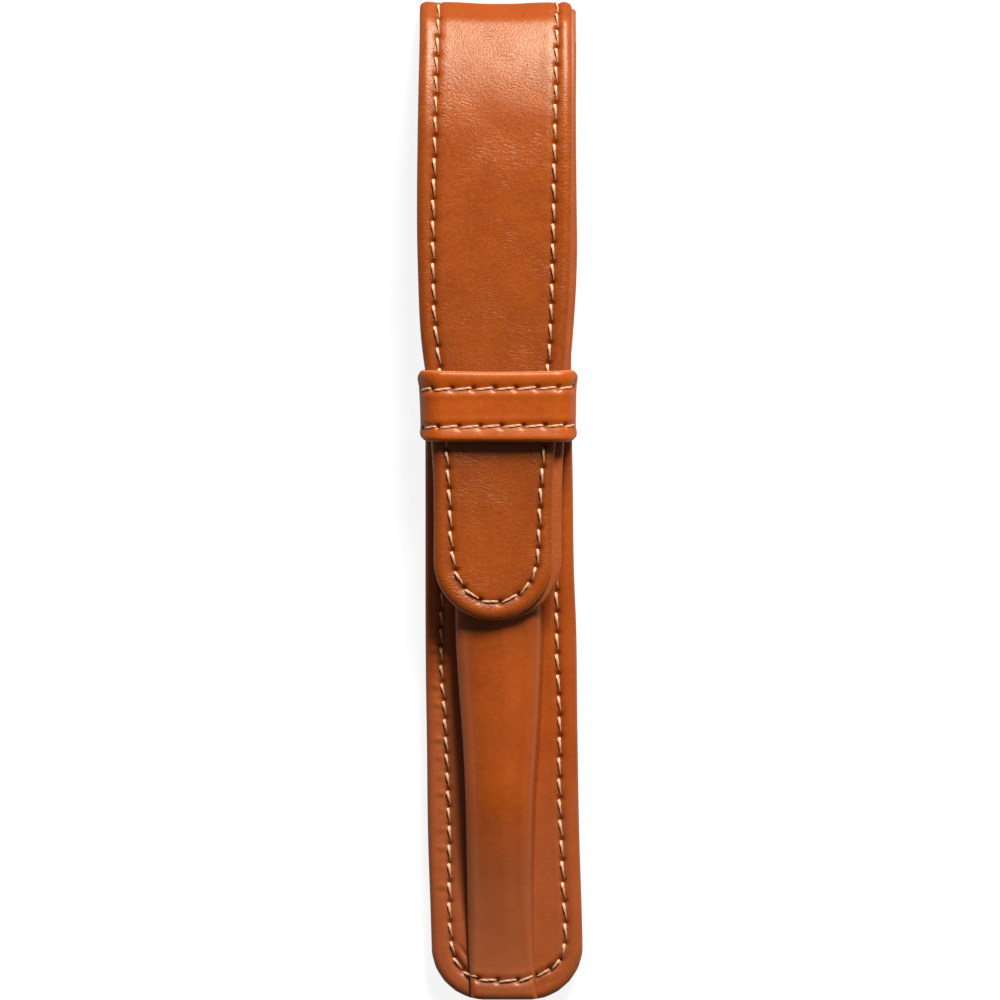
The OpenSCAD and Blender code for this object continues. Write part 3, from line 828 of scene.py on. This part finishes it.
# Height of each pucker, a point on its line, the way across it, the line's width, the pucker's
# middle and its reach
PUCKERS = (
    (-0.38, (-6.3, -76.4), (0.8, 0.6), 0.35, (-6.2, -76.6), 1.9),
    (-0.30, (-5.2, -75.2), (0.8, 0.6), 0.30, (-5.6, -75.0), 1.6),
    (-0.34, (9.2, -77.0), (0.6, -0.8), 0.40, (9.0, -77.2), 2.0),
    (0.15, (8.0, -78.6), (0.5, -0.87), 0.30, (8.0, -78.8), 1.8),
)


def pucker(x, y):
    """Small folds that the bottom seam draws into the leather."""
    h = 0
    for high, p, across, width, c, reach in PUCKERS:
        off = (x - p[0]) * across[0] + (y - p[1]) * across[1]
        h = h + high * (bell(off, width) * bell(np.hypot(x - c[0], y - c[1]), reach))
    return h


def drawn_folds(x, y):
    """Short creases that the tight stitches of the left row draw into the margin."""
    h = np.zeros(np.shape(x))
    for k, py in enumerate(y_l[(y_l > -66) & (y_l < -20)]):
        px, deep = float(pocket_left(py)), 0.09 + 0.05 * math.sin(2.3 * k)
        h += deep * bell(y - py - 0.9, 0.42) * bell(x - px + 1.25, 0.8)
        h -= 0.6 * deep * bell(y - py + 0.1, 0.42) * bell(x - px + 1.1, 0.7)
    return h


def dress_pocket(p, kind, u):
    """Adds the worn leather's relief to the plain section, and gives its painted shade and painted
    sheen.
    """
    x, y = p[..., 0], p[..., 1]
    d_edge = line_distance(x, y, outline)
    d_seam = line_distance(x, y, pocket_centres)
    h, sewn = relief(x, y, d_edge, d_seam, pocket_holes, 31, drop=0.6, r=1.2, ridge=0.06)
    h = h + pucker(x, y) + drawn_folds(x, y)
    flat = np.choose(kind, [1, 0, ease(u), 1, ease(1 - u), 0, 1]) + 0 * x
    h = h * flat - roll(Y_MOUTH - y, 0.5, 0.3)
    # Painted shade at the foot of the channel's walls, and along its left edge, stronger higher up
    painted_left_edge_shade = 1.7 * ease((y + 66) / 18)
    painted_foot_shade = np.choose(kind, [
        1.3 * bell((1 - u) * 5, 1.4), 1 - u, painted_left_edge_shade, painted_left_edge_shade * (1 - u) ** 3,
        0, 0.5 * u, 0.6 * (1 - u),
    ])
    # Painted sheen: a greyish reflection along the channel's edges, and a haze over the lower part
    # of the pocket, in the rim colour
    inner_sheen = 0.5 * np.clip(1 - 7 * u, 0, 1)
    painted_sheen = np.choose(kind, [0, 0, 1 - 0.5 * u, inner_sheen, 0.7 * ease(u), 0.7 * (1 - u), 0])
    late = ease((-48 - y) / 18)
    onset = np.choose(kind, [
        ease((-20 - y) / 24), late, late, late, late, late, ease((-36 - y) / 24),
    ])
    painted_low_sheen = np.choose(kind, [0.6, 0.3, 0.7, 0.75, 0.6, 0.4, 0.45]) * onset
    painted_sheen = painted_sheen * 0.75 * ease((y + 80) / 4) + painted_low_sheen
    # Painted shade: the tongue tip's shadow on the channel, and a longer, softer one below it
    tip_shadow = 0.5 * bell(y + 20.2, 2.6) + 0.35 * bell(y + 22.5, 3.2)
    painted_shade = np.choose(kind, [0, 0, 1, 1, 1, 0, 0]) * tip_shadow
    painted_shade = painted_shade + np.choose(kind, [0, 0.4, 0.4, inner_sheen, 0, 0, 0]) * bell(y + 24, 9)
    p = p.copy()
    p[..., 2] += h
    return p, np.clip(sewn + painted_shade + 0.35 * painted_foot_shade, 0, 1), np.clip(painted_sheen, 0, 1)


top, pocket_painted_shade, pocket_painted_sheen = dress_pocket(top, fine_kind, fine_u)
notch_rows = {int(np.argmin(abs(pocket_y - v))) for v in notch_y}
wanted_rows = sorted({*thin(len(pocket_y), 8), *notch_rows})
wanted_cols = thin(len(fine_kind), 5)
low = section(pocket_y[wanted_rows], fine_kind[wanted_cols], fine_u[wanted_cols], POCKET_T, True)
pocket = slab(
    "pocket_front_leather", top, low, border(*top.shape[:2]), wanted_rows, wanted_cols,
    flat_place, 100, pocket_painted_shade, flat=[(0, top.shape[1] - 1)], painted_sheen=pocket_painted_sheen,
)


def pocket_ground(x, y):
    """Height of the pocket's front face under a stitch."""
    kind, u = column_table(1.0)
    line = section(np.atleast_1d(y), kind, u, 0.0, False)
    keep = np.isin(kind, (2, 3, 4))
    z = np.full(len(line), Z_MARGIN)
    for k, row in enumerate(line):
        inside = row[keep]
        if inside[0, 0] <= x[k] <= inside[-1, 0]:
            z[k] = np.interp(x[k], inside[:, 0], inside[:, 2])
    return np.convolve(np.pad(z, 2, mode="edge"), np.ones(5) / 5, "valid") - SINK


pocket_thread = thread(
    "pocket_stitches_sewn", [pocket_holes], flat_place, 70, pocket_ground, seed=8
)

# --- back and its lining
# Point round which the ribs turn at the bottom; the seam's distance from the edge, its pitch, the
# column of the ribs that runs along it, and the height of the face under its stitches
BACK_AXIS = (1.5, -71.5)
BACK_INSET, BACK_PITCH, BACK_COLUMN, BACK_FACE = 2.75, 3.3, 12, 0.25


def body_ribs(inset, step, seamed, left_top=0.0, right_top=0.0):
    """Ribs down the body's left side, round the bottom and up its right side."""
    y = join([spread(Y_BACK, CORNER_R[1], step), corner_rows(inset, step)])
    shift = ease((y - Y_MOUTH) / (Y_LEVEL - Y_MOUTH))
    left = columns(body_edge(-1, y, inset) + left_top * shift, y)
    right = columns(body_edge(1, y, inset) + right_top * shift, y)
    flat_x = spread(left[-1, 0], right[-1, 0], step)[1:-1]
    flat = columns(flat_x, np.full(len(flat_x), y[-1]))
    edge = join([left, flat, right[::-1]])
    mid_x = mix((left[:, 0] + right[:, 0]) / 2, BACK_AXIS[0], ease((-40 - y) / 30))
    mid = columns(mid_x, np.maximum(y, BACK_AXIS[1]))
    axis = join([mid, np.repeat(mid[-1:], len(flat), 0), mid[::-1]])
    if not seamed:
        return unsewn(*plain_ribs(edge, axis, 2.0))
    way = axis - edge
    seam = edge + way / np.linalg.norm(way, axis=1)[:, None] * BACK_INSET
    return ribs(edge, seam, axis, inner_step=1.2)


back_grids = body_ribs(0.0, 0.45, True)
back_seam = back_grids[0][:, BACK_COLUMN]
back_run = join([[0], np.cumsum(np.linalg.norm(np.diff(back_seam, axis=0), axis=1))])
back_count = int(back_run[-1] / BACK_PITCH)
back_marks = (np.arange(back_count) + 0.5) * back_run[-1] / back_count
back_holes = chain(columns(*(np.interp(back_marks, back_run, v) for v in back_seam.T)))
back = sheet(
    "back_leather_sewn", back_grids, 0.0, Z_LINING - 0.03, flat_place, 40, back_holes, 41,
    u_shape=True, drop=0.35, r=0.8, up=-1,
)
back_lining = sheet(
    "back_lining_sheet", body_ribs(0.14, 0.8, False, 0.95, 0.93), Z_LINING, Z_SEAM, flat_place,
    50, [], 51, u_shape=True, drop=0.12, r=0.3, up=-1, every=(2, 1),
)
back_thread = thread(
    "back_stitches_sewn", [back_holes], flat_place, 75, level(BACK_FACE), rise=0.12, slant=-0.2,
    up=-1, seed=9,
)

# --- keeper
# Half width, radii at the top and foot, heights of ends and roof, length of an end; roundness of
# the band's upper and lower edge at the corners; thickness of leather and lining
K_HALF, K_TOP_R, K_FOOT_R, K_Z0, K_Z1, K_END = 13.15, 3.9, 1.1, 2.5, 13.3, 3.9
K_CORNER_TOP, K_CORNER_LOW = 0.3, 0.85
K_T, K_LINING_T = 0.6, 0.5
# Upper and lower edge, place between the rows, dip of the upper edge; lean of the sides; rows
Y_K_TOP, Y_K_LOW, K_SPLIT, K_DIP = 21.5, 9.9, 15.4, 0.3
K_LEAN_L, K_LEAN_R = 0.58, 0.24
K_SEAMS, K_TILT = (18.55, 12.3), 0.012
# Length of each part of the half loop from its end up, and its heading at both ends in degrees
k_parts = [
    (K_END - K_FOOT_R, 180, 180), (K_FOOT_R * math.pi / 2, 180, 90),
    ((K_Z1 - K_TOP_R) - (K_Z0 + K_FOOT_R), 90, 90), (K_TOP_R * math.pi / 2, 90, 0),
    (K_HALF - K_TOP_R, 0, 0),
]
k_u = np.cumsum([0] + [p[0] for p in k_parts])
K_MID = k_u[-1]
loop_u = np.arange(0, K_MID, LINE_STEP)
head = np.radians(np.interp(loop_u, np.repeat(k_u, 2)[1:-1], [a for p in k_parts for a in p[1:]]))
loop_x = np.cumsum(np.cos(head)) * LINE_STEP - (K_HALF - K_END)
loop_z = np.cumsum(np.sin(head)) * LINE_STEP + K_Z0
loop_x -= loop_x[-1]


def keeper_place(p):
    """From [length round the loop, y, height off its outside] to the shared frame."""
    far = K_MID - abs(p[:, 0])
    x, z, a = (np.interp(far, loop_u, line) for line in (loop_x, loop_z, head))
    side = np.sign(p[:, 0])
    x = x - p[:, 2] * np.sin(a)
    z = z + p[:, 2] * np.cos(a)
    low_share = (Y_K_TOP - p[:, 1]) / (Y_K_TOP - Y_K_LOW)
    lean_in = np.where(side < 0, K_LEAN_L, K_LEAN_R) * low_share / K_HALF
    return columns(-side * x * (1 - lean_in), p[:, 1], z)


def keeper_band(seamed, inset, step):
    """Ribs of the keeper's band, from its upper and lower edge to its middle line."""
    v = spread(-K_MID, K_MID, step)
    out = K_HALF - K_TOP_R
    across = out + K_TOP_R * np.sin(np.clip((abs(v) - out) / K_TOP_R, 0, math.pi / 2))
    cut_high, cut_low = (
        r * (1 - np.sqrt(1 - np.clip((across - K_HALF + r) / r, 0, 1) ** 2))
        for r in (K_CORNER_TOP, K_CORNER_LOW)
    )
    high = Y_K_TOP - inset - K_DIP * (1 - (v / K_HALF).clip(-1, 1) ** 2) - cut_high
    low = Y_K_LOW + inset + cut_low
    axis = columns(v, (high + low) / 2)
    halves = [
        ribs(columns(v, edge), columns(v, seam + K_TILT * v), axis, inner_step=0.6) if seamed
        else plain_ribs(columns(v, edge), axis, 1.2)
        for edge, seam in zip((high, low), K_SEAMS)
    ]
    grids = both(*halves)
    if not seamed:
        return unsewn(*grids)
    xs, d, d_seam = grids
    return xs, d, d_seam + 3 * ease(abs(xs[..., 0]) - K_HALF - 0.4)


keeper_rows = [
    chain([(v, seam + K_TILT * v) for v in first + pitch * np.arange(8)])
    for seam, first, pitch in zip(K_SEAMS, (-12.87, -12.05), (3.54, 3.64))
]
# The keeper's seams get less painted shade in their valleys
keeper = sheet(
    "keeper_band_leather", keeper_band(True, 0.0, 0.25), 0.0, -K_T, keeper_place, 120,
    join(keeper_rows), 61, drop=0.34, r=0.6, line=0.12,
    ridge=lambda s: np.where(s < K_SPLIT, 0.19, RIDGE),
    crest=lambda s: np.where(s < K_SPLIT, 0.5, CREST),
)
keeper_lining = sheet(
    "keeper_band_lining", keeper_band(False, 0.25, 0.5), -K_T - 0.01, -K_T - K_LINING_T,
    keeper_place, 140, [], 71, drop=0.1, r=0.3, every=(1, 1),
)
keeper_threads = [
    thread(name, [holes], keeper_place, 70, level(-2 * SINK), slant=0.17, seed=seed)
    for name, holes, seed in zip(("keeper_upper_row", "keeper_lower_row"), keeper_rows, (14, 15))
]

# --- bodies
sewn_on = (
    (pocket, "pocket_front"), (pocket_thread, "pocket_stitches"), (back, "back_leather"),
    (back_lining, "back_lining"), (back_thread, "back_stitches"), (keeper, "keeper_leather"),
    (keeper_lining, "keeper_lining"),
    *zip(keeper_threads, ("keeper_upper_stitches", "keeper_lower_stitches")),
)
# For each part of the strap: the body before its bend, the one after it, and the bend's two ends
bends = {
    "crown": ("sleeve", "flap_upper", (0, 0.0800, 0.0070), (0, 0.0700, 0.0120)),
    "flap": ("flap_upper", "flap_lower", (0, 0.0585, 0.0102), (0, 0.0405, 0.0102)),
    "tongue": ("flap_lower", "tongue", (0, 0.0290, 0.0102), (0, 0.0210, 0.0102)),
}
for piece in ("leather", "lining", "stitches"):
    for part, (before, after, start, end) in bends.items():
        o = strap[f"{part}_{piece}"]
        fold = ["fold_stitches"] if (part, piece) == ("crown", "stitches") else []
        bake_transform(o)
        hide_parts(*fold, f"{after}_{piece}")
for o, node in sewn_on:
    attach(o, "sleeve")
    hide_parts(node)
linings = [*(strap[part + "_lining"] for part in bends), back_lining, keeper_lining]
threads = [*(strap[part + "_stitches"] for part in bends)]
threads += [pocket_thread, back_thread, *keeper_threads]


# --- materials
class Nodes:
    """Short hand for the node tree of one material, or of the world."""

    def __init__(self, name, kind="Material"):
        group = bpy.data.worlds if kind == "World" else bpy.data.materials
        self.owner = group.new(name)
        self.owner.use_nodes = True
        self.tree = self.owner.node_tree
        self.tree.nodes.clear()
        self.out = self.tree.nodes.new("ShaderNodeOutput" + kind)

    def add(self, kind, links=(), **values):
        """New node; links gives each input a value or another node's output."""
        node = self.tree.nodes.new("ShaderNode" + kind)
        for key, value in values.items():
            setattr(node, key, value)
        for socket, source in dict(links).items():
            if isinstance(source, bpy.types.NodeSocket):
                self.tree.links.new(source, node.inputs[socket])
            else:
                node.inputs[socket].default_value = source
        return node

    def math(self, operation, a, b=0.5, clamp=False):
        return self.add("Math", {0: a, 1: b}, operation=operation, use_clamp=clamp).outputs[0]

    def times(self, a, b):
        return self.math("MULTIPLY", a, b)

    def blend(self, share, a, b):
        a, b = (v if isinstance(v, bpy.types.NodeSocket) else (*v, 1) for v in (a, b))
        return self.add("Mix", {0: share, 6: a, 7: b}, data_type="RGBA").outputs[2]

    def ramp(self, source, low, high):
        return self.add("MapRange", {0: source, 1: low, 2: high}, clamp=True).outputs[0]

    def noise(self, where, scale, detail=2.0, rough=0.5):
        links = {"Vector": where, "Scale": scale, "Detail": detail, "Roughness": rough}
        return self.add("TexNoise", links).outputs["Fac"]

    def cells(self, where, scale, feature):
        links = {"Vector": where, "Scale": scale, "Randomness": 1.0}
        return self.add("TexVoronoi", links, feature=feature).outputs["Distance"]

    def stretch(self, where, x, y, z=1.0):
        return self.add("VectorMath", {0: where, 1: (x, y, z)}, operation="MULTIPLY").outputs[0]

    def attribute(self, name, output="Fac"):
        return self.add("Attribute", attribute_name=name).outputs[output]

    def finish(self, shader):
        self.tree.links.new(shader.outputs[0], self.out.inputs[0])
        return self.owner


def leather(name, base, dark, pale, rim, rough=0.39, grain=1.0, wear=1.0, calm=None):
    """Dyed calf leather: cloudy dye, fine pores, paler stretch lines of pulled-up leather with a
    painted highlight on their ridges, painted shade from the seam attribute, and edge paint paled
    as a painted highlight.
    Past the length calm along the strap it is duller, and darker as painted shade over the fold."""
    n = Nodes(name)
    rest, seam, edge = n.attribute("rest", "Vector"), n.attribute("seam"), n.attribute("rim")
    cloud = n.noise(rest, 0.16, 4.0, 0.6)
    fine = n.noise(rest, 1.3, 3.0, 0.65)
    warp = n.add("TexNoise", {"Vector": rest, "Scale": 0.35, "Detail": 2.0}).outputs["Color"]
    bent = n.add("VectorMath", {0: n.stretch(warp, 2.2, 2.2, 0.0), 1: rest}, operation="ADD")
    cells = n.cells(n.stretch(bent.outputs[0], 0.7, 1.6), 1.0, "DISTANCE_TO_EDGE")
    patch = n.ramp(n.noise(rest, 0.11, 2.0), 0.42, 0.62)
    lines = n.times(n.math("SUBTRACT", 1.0, n.ramp(cells, 0.0, 0.09)), patch)
    color = n.blend(n.ramp(cloud, 0.3, 0.72), dark, base)
    color = n.blend(n.times(n.ramp(fine, 0.45, 0.75), 0.35), color, pale)
    # Paler lines: pulled-up leather, and a painted highlight on the ridges of the wrinkles
    color = n.blend(n.times(lines, 0.16 * wear), color, pale)
    # Painted shade from the seam attribute: seam valleys, stitch holes, the keeper's and the tongue
    # tip's shadows and the channel's foot
    color = n.blend(n.times(seam, 0.55), color, [c * 0.35 for c in dark])
    # Rim colour: edge paint, on the strap and keeper paled as a painted highlight; on the pocket
    # also its painted sheen
    color = n.blend(n.times(edge, 0.85), color, rim)
    pores = n.times(n.cells(rest, 2.5, "F1"), 0.55)
    height = n.math("ADD", pores, n.times(n.noise(rest, 5.2, 3.0, 0.6), 0.95))
    height = n.math("SUBTRACT", height, n.times(lines, 0.62 * wear))
    bump = n.add("Bump", {"Strength": 0.34 * grain, "Distance": 0.00012, "Height": height})
    sheen = n.math("ADD", n.times(fine, 0.16), rough - 0.08)
    shine = 0.55
    if calm is not None:
        fold_shade = n.ramp(n.add("SeparateXYZ", {0: rest}).outputs[1], calm - 1.4, calm + 0.4)
        shine = n.math("SUBTRACT", shine, n.times(fold_shade, 0.3))
        # Painted shade over the fold, which turns away from the lamp
        color = n.blend(n.times(fold_shade, 0.5), color, [c * 0.88 for c in dark])
    return n.finish(n.add("BsdfPrincipled", {
        "Base Color": color, "Roughness": sheen, "Normal": bump.outputs[0],
        "Specular IOR Level": shine, "Specular Tint": (1.0, 0.98, 0.73, 1.0),
    }))


def waxed_thread(name, base, shaded_tail):
    """Twisted thread, with painted shade towards the end where a stitch goes into the leather."""
    n = Nodes(name)
    fibre = n.noise(n.stretch(n.attribute("rest", "Vector"), 2.0, 1.2, 3.5), 2.0, 3.0, 0.6)
    color = n.blend(n.ramp(fibre, 0.35, 0.7), [c * 0.82 for c in base], base)
    color = n.blend(n.times(n.attribute("rim"), 0.75), color, shaded_tail)
    bump = n.add("Bump", {"Strength": 0.4, "Distance": 0.00008, "Height": fibre})
    return n.finish(n.add("BsdfPrincipled", {
        "Base Color": color, "Roughness": 0.55, "Normal": bump.outputs[0],
        "Sheen Weight": 0.15, "Sheen Roughness": 0.5,
    }))


# Colours of each leather: its dye, darker clouds, paler lines (pulled-up leather and a painted
# highlight), and rim: edge paint, on the strap and keeper paled as a painted highlight, and on
# the pocket also its painted sheen
TAN = ((0.41, 0.070, 0.002), (0.32, 0.048, 0.001), (0.48, 0.105, 0.008), (0.44, 0.13, 0.035))
SMOOTH = ((0.44, 0.074, 0.003), (0.36, 0.054, 0.002), (0.50, 0.105, 0.010), (0.36, 0.096, 0.034))
BRIGHT = ((0.52, 0.089, 0.002), (0.44, 0.066, 0.001), (0.58, 0.12, 0.008), (0.55, 0.19, 0.07))
LINING = ((0.42, 0.076, 0.006), (0.34, 0.054, 0.004), (0.48, 0.10, 0.012), (0.40, 0.09, 0.012))
outer = leather("tan_leather", *TAN, grain=1.08, wear=0.9)
crown = leather("tan_leather_crown", *TAN, grain=1.08, wear=0.9, calm=float(knots_s[2]))
smooth = leather("tan_leather_smooth", *SMOOTH, grain=0.55, wear=0.15)
bright = leather("tan_leather_keeper", *BRIGHT, grain=0.6, wear=0.2)
inner = leather("tan_lining", *LINING, rough=0.55, wear=0.4)
# The thread's second colour is the painted shade of its tails
cream = waxed_thread("cream_thread", (0.86, 0.55, 0.31), (0.68, 0.27, 0.13))
for group, material, name in (
    ([strap["flap_leather"], strap["tongue_leather"], back], outer, "outer_leather"),
    ([strap["crown_leather"]], crown, "outer_leather"),
    ([pocket], smooth, "outer_leather"), ([keeper], bright, "outer_leather"),
    (linings, inner, "lining_leather"), (threads, cream, "thread"),
):
    for o in group:
        o.data.materials.clear()
        o.data.materials.append(material)

# --- floor, light and camera
WHITE = (1, 1, 1, 1)
FLOOR, FLOOR_Z = 3.0, -0.0002
corners = [(x * FLOOR, y * FLOOR, FLOOR_Z) for x, y in ((-1, -1), (1, -1), (1, 1), (-1, 1))]
floor_mesh = bpy.data.meshes.new("floor")
floor_mesh.from_pydata(corners, [], [(0, 1, 2, 3)])
floor = linked("floor", floor_mesh)
n = Nodes("pale_floor")
ray = n.add("LightPath")
seen = n.math(
    "MAXIMUM", ray.outputs["Is Camera Ray"], ray.outputs["Is Transmission Ray"], clamp=True
)
plain = n.add("BsdfDiffuse", {"Color": (0.5, 0.5, 0.5, 1)}).outputs[0]
soft_white = n.add("BsdfDiffuse", {"Color": (0.17, 0.17, 0.17, 1)}).outputs[0]
where = n.add("TexCoord").outputs["Object"]
away = n.add("VectorMath", {0: where}, operation="LENGTH").outputs["Value"]
# Near the sleeve the floor glows a little less, because the lamp lights it there
far = n.add("MapRange", {0: away, 1: 0.2, 2: 0.9, 3: 0.89, 4: 1.0}, clamp=True).outputs[0]
glow = n.add("Emission", {0: WHITE, 1: far}).outputs[0]
camera_side = n.add("AddShader", {0: soft_white, 1: glow}).outputs[0]
floor_mesh.materials.append(n.finish(n.add("MixShader", {0: seen, 1: plain, 2: camera_side})))

# The world is white to the camera and a weak fill to everything else
n = Nodes("studio", "World")
scene.world = n.owner
direct = n.add("LightPath").outputs["Is Camera Ray"]
fill, white = (n.add("Background", {0: WHITE, 1: power}).outputs[0] for power in (0.10, 1.0))
n.finish(n.add("MixShader", {0: direct, 1: fill, 2: white}))

# The one lamp: its way from the sleeve, distance, size and power
KEY_WAY, KEY_FAR, KEY_SIZE, KEY_POWER = (0.4, 1.34, 1.0), 1.2, 0.36, 25.0
lamp = bpy.data.lights.new("key", "AREA")
lamp.shape, lamp.size, lamp.energy = "SQUARE", KEY_SIZE, KEY_POWER
key = linked("key", lamp)
way = Vector(KEY_WAY).normalized()
key.location = way * KEY_FAR
key.rotation_euler = way.to_track_quat("Z", "Y").to_euler()

# The camera looks straight down at AIM
AIM, CAMERA_FAR = (0.00041, 0.00016, 0.006), 2.2986
camera = bpy.data.cameras.new("camera")
camera.lens, camera.sensor_width = 500, 36
view = linked("camera", camera)
view.location = (AIM[0], AIM[1], AIM[2] + CAMERA_FAR)
bpy.context.scene.camera = view
scene.view_settings.view_transform = "Standard"
